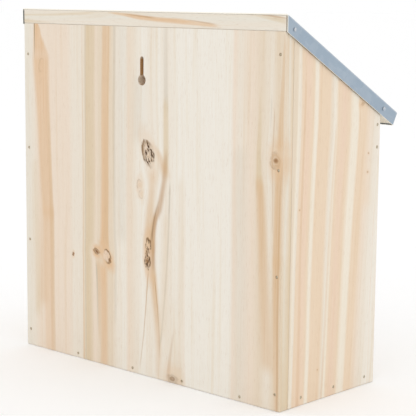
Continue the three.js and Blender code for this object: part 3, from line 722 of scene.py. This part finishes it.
def pine(name, grain, tones, streaks=(), knots=(), seed=0, slope=0.0, origin=None, grow=None):
    """Bare planed pine for one board, with the tones, streaks and knots that grew in it. Where
    an origin is given, distances across the grain count from it towards the front. The rings
    follow grow, which says where a point of the surface lies across the board's growth."""
    wood = bpy.context.scene.birdhouse_wood
    material, w, shader = start_material(name)
    place, facing = wood_place(w, grain, slope)
    across, through, along = w.parts(place)
    if origin is not None:
        across = w.minus(origin, across)
        place = w.vector(across, through, along)

    drift = 0.0
    for knot in knots:
        at = knot_place(knot, across, along)
        drift = w.group(shared("push"), Push=knot.push, Before=drift, **at)["Drift"]

    far_seed = w.vector(0.0, seed * SEED_STEP, 0.0)
    slow = w.noise(w.shifted(w.stretched(place, 0.012, 0.012, 0.006), far_seed), detail=1)
    flowing = w.total(across, drift, w.times(w.minus(slow, 0.5), WANDER))
    growth = grow(w, flowing, through, along) if grow else flowing
    grown = w.shifted(w.vector(growth, through, along), far_seed)
    fibre = w.group(shared("fibre"), Place=grown)

    ragged = w.total(growth, w.times(w.minus(fibre["Streaks"], 0.5), TONE_FRAY))
    low, high = tones[0].across, tones[-1].across
    stops = [((t.across - low) / (high - low), getattr(wood, t.colour)) for t in tones]
    shade = w.tones(w.ramp(ragged, low, high, smooth=False), stops)

    frayed_along = w.total(along, w.times(w.minus(fibre["Streaks"], 0.5), END_FRAY))
    fray = w.minus(fibre["Lines"], 0.5)
    uneven = w.ramp(fibre["Lines"], 0.3, 0.7, 0.8, 1.1)
    for streak in streaks:
        mask = w.group(
            shared("streak"),
            Across=flowing,
            Along=frayed_along,
            Fray=fray,
            Uneven=uneven,
            Start_Across=streak.start[0],
            Start_Along=streak.start[1],
            End_Across=streak.end[0],
            End_Along=streak.end[1],
            Bow=streak.bow,
            Start_Width=streak.widths[0],
            End_Width=streak.widths[1],
            Start_Strength=streak.strengths[0],
            End_Strength=streak.strengths[1],
            Soft=streak.soft,
        )["Mask"]
        shade = w.mix(mask, shade, getattr(wood, streak.colour))

    warm = w.mix(1.0, shade, WARM_LINES, "MULTIPLY")
    shade = w.mix(w.ramp(fibre["Lines"], 0.52, 0.8, 0.0, 0.6), shade, warm)
    shade = w.mix(w.ramp(fibre["Streaks"], 0.5, 0.78, 0.0, 0.7), shade, warm)
    light = w.mix(1.0, shade, PALE_LINES, "MULTIPLY")
    shade = w.mix(w.ramp(fibre["Lines"], 0.46, 0.25, 0.0, 0.8), shade, light)
    shade = w.mix(w.times(fibre["Pores"], 0.22), shade, wood.tan)

    relief = fibre["Relief"]
    for knot in knots:
        at = knot_place(knot, across, frayed_along)
        face = w.group(shared("knot"), Tilt=knot.tilt, Side=knot.side, Soft=knot.soft, **at)
        rings = w.ramp(face["Rings"], -0.4, 1.0, 0.0, 0.4)
        heart = w.mix(rings, getattr(wood, knot.colour), shade)
        for part, strength, tint in (
            ("Stain", knot.stain, wood.amber),
            ("Body", knot.heart, heart),
            ("Rim", knot.rim, wood.bark),
            ("Core", knot.core, wood.core),
            ("Cracks", knot.cracks, wood.crack),
        ):
            shade = w.mix(w.times(face[part], strength), shade, tint)
        relief = w.minus(relief, w.times(face["Cracks"], CRACK_DEPTH * knot.cracks))
        relief = w.minus(relief, w.times(face["Rim"], RIM_DEPTH * knot.rim))

    end = w.group(shared("end"), Place=grown, Facing=facing, Ring_Width=RING_WIDTH)
    sawn = w.mix(w.times(end["Rings"], 0.5), wood.sand, wood.honey)
    shade = w.mix(w.times(end["Mask"], 0.75), shade, sawn)

    # Painted shade on the walls of holes.
    shade = w.mix(w.attribute("painted_wall_shade"), shade, wood.wall_shade_colour)
    # Eased edges lean towards chalk: partly the paler sanded wood, partly a painted highlight
    # where the rounded edges catch the light.
    shade = w.mix(w.times(w.attribute("eased"), 0.15), shade, wood.chalk)

    w.feed(shader.inputs["Base Color"], shade)
    w.feed(shader.inputs["Roughness"], w.ramp(fibre["Streaks"], 0.3, 0.7, 0.74, 0.6))
    shader.inputs["Specular IOR Level"].default_value = 0.35
    w.feed(shader.inputs["Normal"], w.bump(relief, GRAIN_RELIEF))
    return material


def metal_place(w):
    """A point of a metal piece, in mm."""
    place = w.node("ShaderNodeTexCoord").outputs["Object"]
    return w.stretched(place, 1 / MM, 1 / MM, 1 / MM)


def galvanised(name, bright, dull, crystal, roughness):
    """Dull galvanised steel with faint crystals of a size in mm, smears and hair scratches."""
    material, w, shader = start_material(name)
    place = metal_place(w)
    zinc = w.group(shared("zinc"), Place=place, Crystal=crystal)
    shade = w.mix(w.ramp(zinc["Crystals"], 0.2, 0.9), dull, bright)
    shade = w.mix(w.ramp(zinc["Smears"], 0.42, 0.7, 0.0, 0.45), shade, bright)
    shade = w.mix(w.times(zinc["Scratches"], 0.2), shade, SCRATCH)
    # Painted highlight on folds and eased edges.
    shade = w.mix(w.times(w.attribute("eased"), 0.3), shade, FOLD_HIGHLIGHT)
    # Cut faces: bare steel, brightened with a painted reflection.
    cut = w.attribute("cut")
    shade = w.mix(cut, shade, bpy.context.scene.birdhouse_metal.shear)
    w.feed(shader.inputs["Base Color"], shade)
    w.feed(shader.inputs["Metallic"], w.ramp(cut, 0.0, 1.0, 1.0, 0.0))
    rough = w.ramp(zinc["Smears"], 0.3, 0.7, roughness - 0.08, roughness + 0.1)
    rough = w.total(rough, w.times(w.minus(zinc["Crystals"], 0.5), 0.1))
    w.feed(shader.inputs["Roughness"], rough)
    height = w.total(w.times(zinc["Crystals"], 0.3), zinc["Smears"])
    w.feed(shader.inputs["Normal"], w.bump(height, ZINC_RELIEF))
    return material


def brad_steel():
    """Plain steel brads with the first rust on their heads."""
    metal = bpy.context.scene.birdhouse_metal
    material, w, shader = start_material("brad steel")
    place = metal_place(w)
    patches = w.noise(place, 0.9, 4, 0.6)
    shade = w.mix(w.ramp(patches, 0.45, 0.62), metal.steel, metal.rust)
    w.feed(shader.inputs["Base Color"], shade)
    w.feed(shader.inputs["Metallic"], w.ramp(patches, 0.62, 0.45, 0.35, 1.0))
    w.feed(shader.inputs["Roughness"], w.ramp(patches, 0.4, 0.65, 0.38, 0.75))
    w.feed(shader.inputs["Normal"], w.bump(patches, RUST_RELIEF))
    return material


# ---- Making pieces -------------------------------------------------------------------------

FLAT = math.radians(0.5)  # facets that turn by less are one face
CORNER = math.radians(35)  # edges that turn by more are eased
ROUND_FACET = 5 * MM  # facets of round holes are narrower


def finish_piece(name, bm, material, node, smooth=20.0):
    """Turns a bmesh into a piece that stands for a node of the frame and rides on its body."""
    mesh = bpy.data.meshes.new(name)
    bm.to_mesh(mesh)
    bm.free()
    mesh.shade_smooth()
    mesh.set_sharp_from_angle(angle=math.radians(smooth))
    mesh.materials.append(material)
    piece = bpy.data.objects.new(name, mesh)
    bpy.context.scene.collection.objects.link(piece)
    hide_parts(node)
    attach(piece, BODY_OF[node])
    piece.modifiers.new("Even shading", "WEIGHTED_NORMAL").keep_sharp = True


def merged_copy(node):
    """A node's shape as a clean bmesh: doubles merged, flat facets joined."""
    bm = bmesh.new()
    bm.from_mesh(frame["nodes"][node].data)
    mark(bm, "eased")
    mark(bm, "painted_wall_shade")
    bmesh.ops.remove_doubles(bm, verts=bm.verts, dist=WELD)
    bmesh.ops.dissolve_limit(bm, angle_limit=FLAT, verts=bm.verts, edges=bm.edges)
    bm.normal_update()
    return bm


def outer_faces(bm):
    """The faces that have no vertex in front of them: not the walls of holes."""
    points = [v.co.copy() for v in bm.verts]

    def is_outer(face):
        level = face.normal.dot(face.verts[0].co)
        return all(face.normal.dot(p) < level + 10 * WELD for p in points)

    return {f for f in bm.faces if is_outer(f)}


def mark(bm, name):
    """The named number that each face carries, which the materials read as an attribute."""
    return bm.faces.layers.float.get(name) or bm.faces.layers.float.new(name)


def ease_edges(bm, edges, radius, segments):
    layer = mark(bm, "eased")
    made = bmesh.ops.bevel(
        bm,
        geom=list(edges),
        offset=radius,
        offset_type="OFFSET",
        segments=segments,
        profile=0.5,
        affect="EDGES",
        clamp_overlap=True,
        material=-1,
    )
    for face in made["faces"]:
        face[layer] = 1.0


def sharp(edge):
    return edge.is_manifold and edge.calc_face_angle(0) > CORNER


def eased_board(node, wall_shade_strength=0.0):
    """A board of the frame with its long edges and the rims of its holes eased. The walls of its
    holes may carry painted shade, full on flat walls and less on round ones."""
    wood = bpy.context.scene.birdhouse_wood
    bm = merged_copy(node)
    outer = outer_faces(bm)
    painted_wall_shade = mark(bm, "painted_wall_shade")
    # Painted shade for the hole walls: full on flat walls, less on round ones.
    for face in set(bm.faces) - outer:
        flat = min(e.calc_length() for e in face.edges) > ROUND_FACET
        face[painted_wall_shade] = wall_shade_strength if flat else 0.3 * wall_shade_strength
    rims = [e for e in bm.edges if sharp(e) and sum(f in outer for f in e.link_faces) == 1]
    ease_edges(bm, rims, wood.rim, segments=2)
    outer = outer_faces(bm)
    edges = [e for e in bm.edges if sharp(e) and all(f in outer for f in e.link_faces)]
    ease_edges(bm, edges, wood.ease, segments=3)
    return bm


def plane(node, material, wall_shade_strength=0.0):
    """Makes the piece for one board."""
    finish_piece(f"planed_{node}", eased_board(node, wall_shade_strength), material, node)


def roof_normal():
    """The roof's upward normal, from the roof board's largest face."""
    polygons = frame["nodes"]["roof_board"].data.polygons
    largest = max((p for p in polygons if p.normal.z > 0.3), key=lambda p: p.area)
    return largest.normal.copy()


def roof_slope():
    normal = roof_normal()
    return math.atan2(-normal.y, normal.z)


# ---- The boards ----------------------------------------------------------------------------


def back_millimetres():
    """The y of the back's rear face, in mm."""
    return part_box("back_panel")[1].y / MM


def back_growth(w, across, through, along):
    """The rings of the back panel lean away from the side as they go through the board."""
    depth = w.minus(through, back_millimetres())
    return w.total(across, w.times(depth, 0.75))


def side_growth(w, across, through, along):
    """The rings of the side panel fan out downwards from its rear top corner."""
    risen = w.math("MINIMUM", w.ramp(along, 0.0, 215.0, smooth=False), 1.0)
    fan = w.math("MULTIPLY_ADD", across, 0.09, 4.0)
    return w.minus(across, w.times(risen, fan))


class BIRDHOUSE_OT_back_panel(bpy.types.Operator):
    """Plane the edge-glued back panel with its keyhole"""

    bl_idname = "birdhouse.back_panel"
    bl_label = "Back panel"

    def execute(self, context):
        material = pine(
            "pine back",
            "upright",
            BACK_TONES,
            BACK_STREAKS,
            BACK_KNOTS,
            seed=1,
            grow=back_growth,
        )
        # The walls of the keyhole get the full painted shade.
        plane("back_panel", material, wall_shade_strength=1.0)
        return {"FINISHED"}


class BIRDHOUSE_OT_side_panels(bpy.types.Operator):
    """Plane the two side panels"""

    bl_idname = "birdhouse.side_panels"
    bl_label = "Side panels"

    def execute(self, context):
        left = pine(
            "pine left side",
            "upright, edge on",
            SIDE_TONES,
            SIDE_STREAKS,
            SIDE_KNOTS,
            seed=2,
            origin=back_millimetres(),
            grow=side_growth,
        )
        right = pine(
            "pine right side",
            "upright, edge on",
            RIGHT_SIDE_TONES,
            seed=3,
            origin=back_millimetres(),
        )
        plane("side_panel_left", left)
        plane("side_panel_right", right)
        return {"FINISHED"}


class BIRDHOUSE_OT_floor_board(bpy.types.Operator):
    """Plane the floor board and drill its drains"""

    bl_idname = "birdhouse.floor_board"
    bl_label = "Floor board"

    def execute(self, context):
        material = pine("pine floor", "lying", CROSS_TONES, seed=4, origin=back_millimetres())
        plane("floor_board", material)
        return {"FINISHED"}


class BIRDHOUSE_OT_roof_board(bpy.types.Operator):
    """Plane the roof board, with its rear edge cut upright"""

    bl_idname = "birdhouse.roof_board"
    bl_label = "Roof board"

    def execute(self, context):
        slope = roof_slope()
        material = pine("pine roof", "lying", ROOF_TONES, ROOF_STREAKS, seed=5, slope=slope)
        plane("roof_board", material)
        return {"FINISHED"}


class BIRDHOUSE_OT_front(bpy.types.Operator):
    """Plane the lintel and the door with its two entrances"""

    bl_idname = "birdhouse.front"
    bl_label = "Front"

    def execute(self, context):
        lintel = pine("pine lintel", "level", CROSS_TONES, seed=6)
        plane("front_lintel", lintel)
        door = pine("pine door", "upright", DOOR_TONES, DOOR_STREAKS, DOOR_KNOTS, seed=7)
        plane("front_door", door)
        return {"FINISHED"}


class BIRDHOUSE_OT_divider(bpy.types.Operator):
    """Plane the divider between the chambers"""

    bl_idname = "birdhouse.divider"
    bl_label = "Divider"

    def execute(self, context):
        material = pine(
            "pine divider",
            "upright, edge on",
            RIGHT_SIDE_TONES,
            seed=8,
            origin=back_millimetres(),
        )
        plane("centre_divider", material)
        return {"FINISHED"}


# ---- The metal -----------------------------------------------------------------------------

SHEET_CELL = 14 * MM  # spacing of the cuts that let the sheet wave
SHEET_SPARE = 50 * MM  # past the rear edge, until that edge is cut
FOLD_STEPS = 5
WAVES = 14  # of the sheet, to the metre
WAVE_SEED = 3.7
POINT_RADIUS = 0.2 * MM  # anything nearer the axis of a nail is its point
HEAD_REACH = 1.2 * MM  # anything deeper than this is past a nail's head
BRAD_HEAD = (0.4 * MM, 0.12 * MM)  # thickness of the rim, and how far the crown is domed
CLOUT_HEAD = (0.45 * MM, 0.25 * MM)
SCREW_HEAD = (0.6 * MM, 1.0 * MM)
NAIL_STEPS = 20
SCREW_STEPS = 32
BUTTON_EASE = 0.25 * MM
RECESS_DEPTH = 0.9 * MM  # of the cross in the screw's head
CROWN = math.radians(80)  # the angle over which a head's crown curves down to its rim
CROWN_ROUNDS = 5


def sheet_depth(node, rear, slope):
    """Depth of the sheet's side flanges, measured square to the slope at its rear end."""
    heights = [v.co.z for v in frame["nodes"][node].data.vertices if v.co.y > rear - WELD * 10]
    return (max(heights) - min(heights)) * math.cos(slope)


def folded_sheet():
    """The roof sheet: one plate folded down at both sides and the front."""
    metal = bpy.context.scene.birdhouse_metal
    normal = roof_normal()
    slope = roof_slope()
    low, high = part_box("roof_sheet")
    depth = sheet_depth("roof_sheet", high.y, slope)
    length = (high.y - low.y) / math.cos(slope)
    bm = bmesh.new()
    bmesh.ops.create_cube(bm, size=1)
    bmesh.ops.scale(bm, vec=(high.x - low.x, length + SHEET_SPARE, depth), verts=bm.verts)
    middle = Vector((0, (SHEET_SPARE - length) / 2, -depth / 2))
    bmesh.ops.translate(bm, vec=middle, verts=bm.verts)
    bm.normal_update()
    open_faces = [f for f in bm.faces if f.normal.z < -0.5 or f.normal.y > 0.5]
    bmesh.ops.delete(bm, geom=open_faces, context="FACES")
    folds = [e for e in bm.edges if len(e.link_faces) == 2]
    ease_edges(bm, folds, metal.bend, segments=FOLD_STEPS)
    for i in range(1, int((high.x - low.x) / SHEET_CELL)):
        cut_across(bm, Vector((low.x + i * SHEET_CELL, 0, 0)), Vector((1, 0, 0)))
    for i in range(-2, int(length / SHEET_CELL)):
        cut_across(bm, Vector((0, -i * SHEET_CELL, 0)), Vector((0, 1, 0)))
    ripple(bm, metal.dent, metal.bend)
    place = Matrix.Translation((0, high.y, high.z)) @ Matrix.Rotation(slope, 4, "X")
    bmesh.ops.transform(bm, matrix=place, verts=bm.verts)
    bmesh.ops.recalc_face_normals(bm, faces=bm.faces)
    if sum(f.normal.dot(normal) * f.calc_area() for f in bm.faces) < 0:
        bmesh.ops.reverse_faces(bm, faces=bm.faces)
    bmesh.ops.solidify(bm, geom=bm.faces, thickness=metal.thickness)
    cut_across(bm, Vector((0, high.y, 0)), Vector((0, 1, 0)), clear_outer=True)
    bmesh.ops.holes_fill(bm, edges=[e for e in bm.edges if e.is_boundary], sides=0)
    bm.normal_update()
    # Marks the rear cut, the lower edges of the flanges and the underside, which the material
    # makes bright: bare steel with a painted reflection of the wood.
    cut = mark(bm, "cut")
    for face in bm.faces:
        if face.normal.y > 0.9 or face.normal.dot(normal) < -0.9:
            face[cut] = 1.0
    return bm


def cut_across(bm, point, normal, clear_outer=False):
    geometry = bm.verts[:] + bm.edges[:] + bm.faces[:]
    bmesh.ops.bisect_plane(
        bm, geom=geometry, plane_co=point, plane_no=normal, clear_outer=clear_outer
    )


def ripple(bm, depth, margin):
    """Lets the plate sag in shallow waves between its folds. It never rises."""
    for v in bm.verts:
        if v.co.z > -margin * 0.01:
            wave = noise.noise(Vector((v.co.x * WAVES, v.co.y * WAVES, WAVE_SEED)))
            v.co.z -= depth * (0.5 + 0.5 * wave)


def axis_and_size(node, into):
    """A turned node's head centre, and its head radius, shank radius and length."""
    points = [v.co.copy() for v in frame["nodes"][node].data.vertices]
    centre = sum(points, Vector()) / len(points)
    depths = [(p - centre).dot(into) for p in points]
    radii = [((p - centre) - into * d).length for p, d in zip(points, depths)]
    top, tip = min(depths), max(depths)
    past_head = top + HEAD_REACH
    shank = min(r for r, d in zip(radii, depths) if r > POINT_RADIUS and d > past_head)
    return centre + into * top, max(radii), shank, tip - top


def turned(profile, steps):
    """A solid turned about +Z from a profile of (radius, height) that ends on the axis."""
    bm = bmesh.new()
    verts = [bm.verts.new((radius, 0, height)) for radius, height in profile]
    edges = [bm.edges.new(pair) for pair in zip(verts, verts[1:])]
    bmesh.ops.spin(
        bm,
        geom=verts + edges,
        cent=(0, 0, 0),
        axis=(0, 0, 1),
        angle=math.tau,
        steps=steps,
        use_merge=True,
        use_duplicate=False,
    )
    bmesh.ops.remove_doubles(bm, verts=bm.verts, dist=WELD)
    bmesh.ops.recalc_face_normals(bm, faces=bm.faces)
    return bm


def nail_profile(head, shank, length, thickness, dome):
    """Half outline of a nail, head top first, with z = 0 on the highest point of the head."""
    angles = [CROWN * i / CROWN_ROUNDS for i in range(CROWN_ROUNDS + 1)]
    fall = dome / (1 - math.cos(CROWN))
    crown = [(head * math.sin(a), -fall * (1 - math.cos(a))) for a in angles]
    rim = crown[-1][0]
    return [
        *crown,
        (head, -dome - 0.15 * thickness),
        (head, -dome - 0.7 * thickness),
        (rim * 0.94, -dome - thickness),
        (shank * 1.25, -dome - thickness * 1.1),
        (shank, -dome - thickness * 1.7),
        (shank, -length + 2.2 * shank),
        (shank * 0.45, -length + 0.6 * shank),
        (0, -length),
    ]


def place_turned(bm, head_centre, into, spin=0.0):
    """Moves a turned solid from the origin to its hole. Its +Z faces back out of the hole."""
    turn = (-into).to_track_quat("Z", "Y") @ Quaternion((0, 0, 1), spin)
    matrix = Matrix.Translation(head_centre) @ turn.to_matrix().to_4x4()
    bmesh.ops.transform(bm, matrix=matrix, verts=bm.verts)


def nail_directions():
    """Which way each family of nails is driven."""
    down_through_roof = -roof_normal()
    up_the_slope = Vector((0, roof_normal().z, -roof_normal().y))
    inwards = {"left": Vector((1, 0, 0)), "right": Vector((-1, 0, 0))}
    forwards = Vector((0, -1, 0))
    ways = {"back_nail": forwards, "back_floor_nail": forwards, "roof_nail": down_through_roof}
    ways["sheet_nail_front"] = up_the_slope
    ways["divider_nail_front"] = Vector((0, 1, 0))
    ways["divider_nail"] = Vector((0, 0, 1))
    for side, way in inwards.items():
        for family in ("floor_nail", "lintel_nail", "pivot_nail", "sheet_nail"):
            ways[f"{family}_{side}"] = way
    return ways


def way_of(node, ways):
    family = max((f for f in ways if node.startswith(f)), key=len)
    return ways[family]


class BIRDHOUSE_OT_roof_sheet(bpy.types.Operator):
    """Fold the galvanised sheet over the roof board"""

    bl_idname = "birdhouse.roof_sheet"
    bl_label = "Roof sheet"

    def execute(self, context):
        metal = context.scene.birdhouse_metal
        material = galvanised(
            "galvanised sheet", metal.zinc, metal.zinc_dark, crystal=6.0, roughness=0.46
        )
        finish_piece("folded_roof_sheet", folded_sheet(), material, "roof_sheet", smooth=50)
        return {"FINISHED"}


class BIRDHOUSE_OT_nails(bpy.types.Operator):
    """Drive the brads, pivot nails and clout nails"""

    bl_idname = "birdhouse.nails"
    bl_label = "Nails"

    def execute(self, context):
        metal = context.scene.birdhouse_metal
        brad = brad_steel()
        plated = galvanised(
            "plated nail", metal.plated, metal.zinc, crystal=1.5, roughness=0.34
        )
        ways = nail_directions()
        for i, node in enumerate(sorted(n for n in frame["nodes"] if "_nail" in n)):
            into = way_of(node, ways)
            head_centre, head, shank, length = axis_and_size(node, into)
            clout = node.startswith("sheet_nail")
            shape = CLOUT_HEAD if clout else BRAD_HEAD
            bm = turned(nail_profile(head, shank, length, *shape), NAIL_STEPS)
            place_turned(bm, head_centre, into, spin=i * 0.7)
            finish_piece(f"driven_{node}", bm, plated if clout else brad, node, smooth=40)
        return {"FINISHED"}


def cross_recess(bm, reach, half_width, depth):
    """Sinks a cross into the top of a turned head that faces +Z."""
    for direction in (Vector((1, 0, 0)), Vector((0, 1, 0))):
        for offset in (-reach, -half_width, half_width, reach):
            cut_across(bm, direction * offset, direction)
    bm.normal_update()

    def in_cross(face):
        middle = face.calc_center_median()
        small, large = sorted((abs(middle.x), abs(middle.y)))
        return face.normal.z > 0.5 and small < half_width and large < reach

    top = [f for f in bm.faces if in_cross(f)]
    sunk = bmesh.ops.extrude_face_region(bm, geom=top)
    moved = [v for v in sunk["geom"] if isinstance(v, bmesh.types.BMVert)]
    bmesh.ops.translate(bm, vec=(0, 0, -depth), verts=moved)
    bmesh.ops.delete(bm, geom=top, context="FACES")


class BIRDHOUSE_OT_turn_button(bpy.types.Operator):
    """Stamp the turn button and drive its screw"""

    bl_idname = "birdhouse.turn_button"
    bl_label = "Turn button"

    def execute(self, context):
        metal = context.scene.birdhouse_metal
        plated = galvanised(
            "zinc plating", metal.plated, metal.zinc, crystal=2.5, roughness=0.36
        )
        bm = merged_copy("turn_button")
        ease_edges(bm, [e for e in bm.edges if sharp(e)], BUTTON_EASE, segments=2)
        finish_piece("stamped_turn_button", bm, plated, "turn_button", smooth=30)
        into = Vector((0, 1, 0))
        head_centre, head, shank, length = axis_and_size("button_screw", into)
        bm = turned(nail_profile(head, shank, length, *SCREW_HEAD), SCREW_STEPS)
        cross_recess(bm, reach=0.62 * head, half_width=0.17 * head, depth=RECESS_DEPTH)
        place_turned(bm, head_centre, into, spin=0.5)
        finish_piece("turned_button_screw", bm, plated, "button_screw", smooth=40)
        return {"FINISHED"}


# ---- Stage ---------------------------------------------------------------------------------

KEY_PLACE = Vector((-1.3, 2.4, 2.2))
KEY_SIZE = 2.2
FILL_PLACE = Vector((-2.4, -0.6, 1.2))
FILL_SIZE = 1.8
FLOOR_RADIUS = 25
FLOOR_GAP = 0.2 * MM  # keeps the floor off the base, so that neither shows through


def view_axes(azimuth, elevation, roll):
    """The camera's right, up and backward directions."""
    backward = Vector(
        (
            math.sin(azimuth) * math.cos(elevation),
            -math.cos(azimuth) * math.cos(elevation),
            math.sin(elevation),
        )
    )
    right = Vector((0, 0, 1)).cross(backward).normalized()
    up = backward.cross(right)
    rolled = right * math.cos(roll) + up * math.sin(roll)
    return rolled, backward.cross(rolled), backward


def soft_light(name, place, aim, size, power):
    light = bpy.data.lights.new(name, "AREA")
    light.shape = "DISK"
    light.size = size
    light.energy = power
    lamp = bpy.data.objects.new(name, light)
    lamp.location = place
    lamp.rotation_mode = "QUATERNION"
    lamp.rotation_quaternion = (aim - place).to_track_quat("-Z", "Y")
    bpy.context.scene.collection.objects.link(lamp)


class BIRDHOUSE_OT_stage(bpy.types.Operator):
    """Set up the pale floor, the soft light and the camera"""

    bl_idname = "birdhouse.stage"
    bl_label = "Stage"

    def execute(self, context):
        stage = context.scene.birdhouse_stage
        low, high = CAD_BOX
        middle = (low + high) / 2

        right, up, backward = view_axes(stage.azimuth, stage.elevation, stage.roll)
        camera = bpy.data.objects.new("camera", bpy.data.cameras.new("camera"))
        camera.data.lens = stage.lens
        camera.data.sensor_width = 36
        camera.data.clip_start = 0.05
        camera.data.clip_end = 60
        camera.rotation_mode = "QUATERNION"
        camera.rotation_quaternion = Matrix((right, up, backward)).transposed().to_quaternion()
        camera.location = middle + Vector(stage.aim) + backward * stage.distance
        context.scene.collection.objects.link(camera)
        context.scene.camera = camera

        world = bpy.data.worlds.new("even sky")
        world.use_nodes = True
        background = world.node_tree.nodes["Background"]
        background.inputs["Color"].default_value = WHITE
        background.inputs["Strength"].default_value = stage.sky
        context.scene.world = world
        context.scene.view_settings.view_transform = "Standard"

        soft_light("key", KEY_PLACE, middle, KEY_SIZE, stage.key)
        soft_light("fill", FILL_PLACE, middle, FILL_SIZE, stage.fill)

        bm = bmesh.new()
        bmesh.ops.create_circle(bm, cap_ends=True, segments=64, radius=FLOOR_RADIUS)
        bmesh.ops.translate(bm, vec=(0, 0, -FLOOR_GAP), verts=bm.verts)
        mesh = bpy.data.meshes.new("floor")
        bm.to_mesh(mesh)
        bm.free()
        material, w, shader = start_material("pale floor")
        place = w.node("ShaderNodeTexCoord").outputs["Object"]
        speckle = w.noise(place, 40, 3)
        w.feed(shader.inputs["Base Color"], stage.floor)
        w.feed(shader.inputs["Roughness"], w.ramp(speckle, 0.3, 0.7, 0.85, 0.95))
        shader.inputs["Specular IOR Level"].default_value = 0.1
        mesh.materials.append(material)
        floor = bpy.data.objects.new("floor", mesh)
        context.scene.collection.objects.link(floor)
        return {"FINISHED"}


# ---- The panel -----------------------------------------------------------------------------

OPERATORS = [
    BIRDHOUSE_OT_stage,
    BIRDHOUSE_OT_back_panel,
    BIRDHOUSE_OT_side_panels,
    BIRDHOUSE_OT_floor_board,
    BIRDHOUSE_OT_roof_board,
    BIRDHOUSE_OT_front,
    BIRDHOUSE_OT_divider,
    BIRDHOUSE_OT_roof_sheet,
    BIRDHOUSE_OT_nails,
    BIRDHOUSE_OT_turn_button,
]


class BIRDHOUSE_PT_panel(bpy.types.Panel):
    """Settings of the birdhouse, and a button for each of its pieces"""

    bl_idname = "BIRDHOUSE_PT_panel"
    bl_label = "Birdhouse"
    bl_space_type = "VIEW_3D"
    bl_region_type = "UI"
    bl_category = "Birdhouse"

    def draw(self, context):
        layout = self.layout
        for settings in (
            context.scene.birdhouse_wood,
            context.scene.birdhouse_metal,
            context.scene.birdhouse_stage,
        ):
            box = layout.box()
            for name in settings.bl_rna.properties.keys():
                if name not in ("rna_type", "name"):
                    box.prop(settings, name)
        for operator in OPERATORS:
            layout.operator(operator.bl_idname)


SETTINGS = {
    "birdhouse_wood": BirdhouseWoodSettings,
    "birdhouse_metal": BirdhouseMetalSettings,
    "birdhouse_stage": BirdhouseStageSettings,
}


def register():
    for cls in (*SETTINGS.values(), *OPERATORS, BIRDHOUSE_PT_panel):
        bpy.utils.register_class(cls)
    for name, cls in SETTINGS.items():
        setattr(bpy.types.Scene, name, bpy.props.PointerProperty(type=cls))


def unregister():
    for name in SETTINGS:
        delattr(bpy.types.Scene, name)
    for cls in reversed((*SETTINGS.values(), *OPERATORS, BIRDHOUSE_PT_panel)):
        bpy.utils.unregister_class(cls)


def main():
    register()
    for operator in OPERATORS:
        family, name = operator.bl_idname.split(".")
        getattr(getattr(bpy.ops, family), name)()


if __name__ == "__main__":
    main()
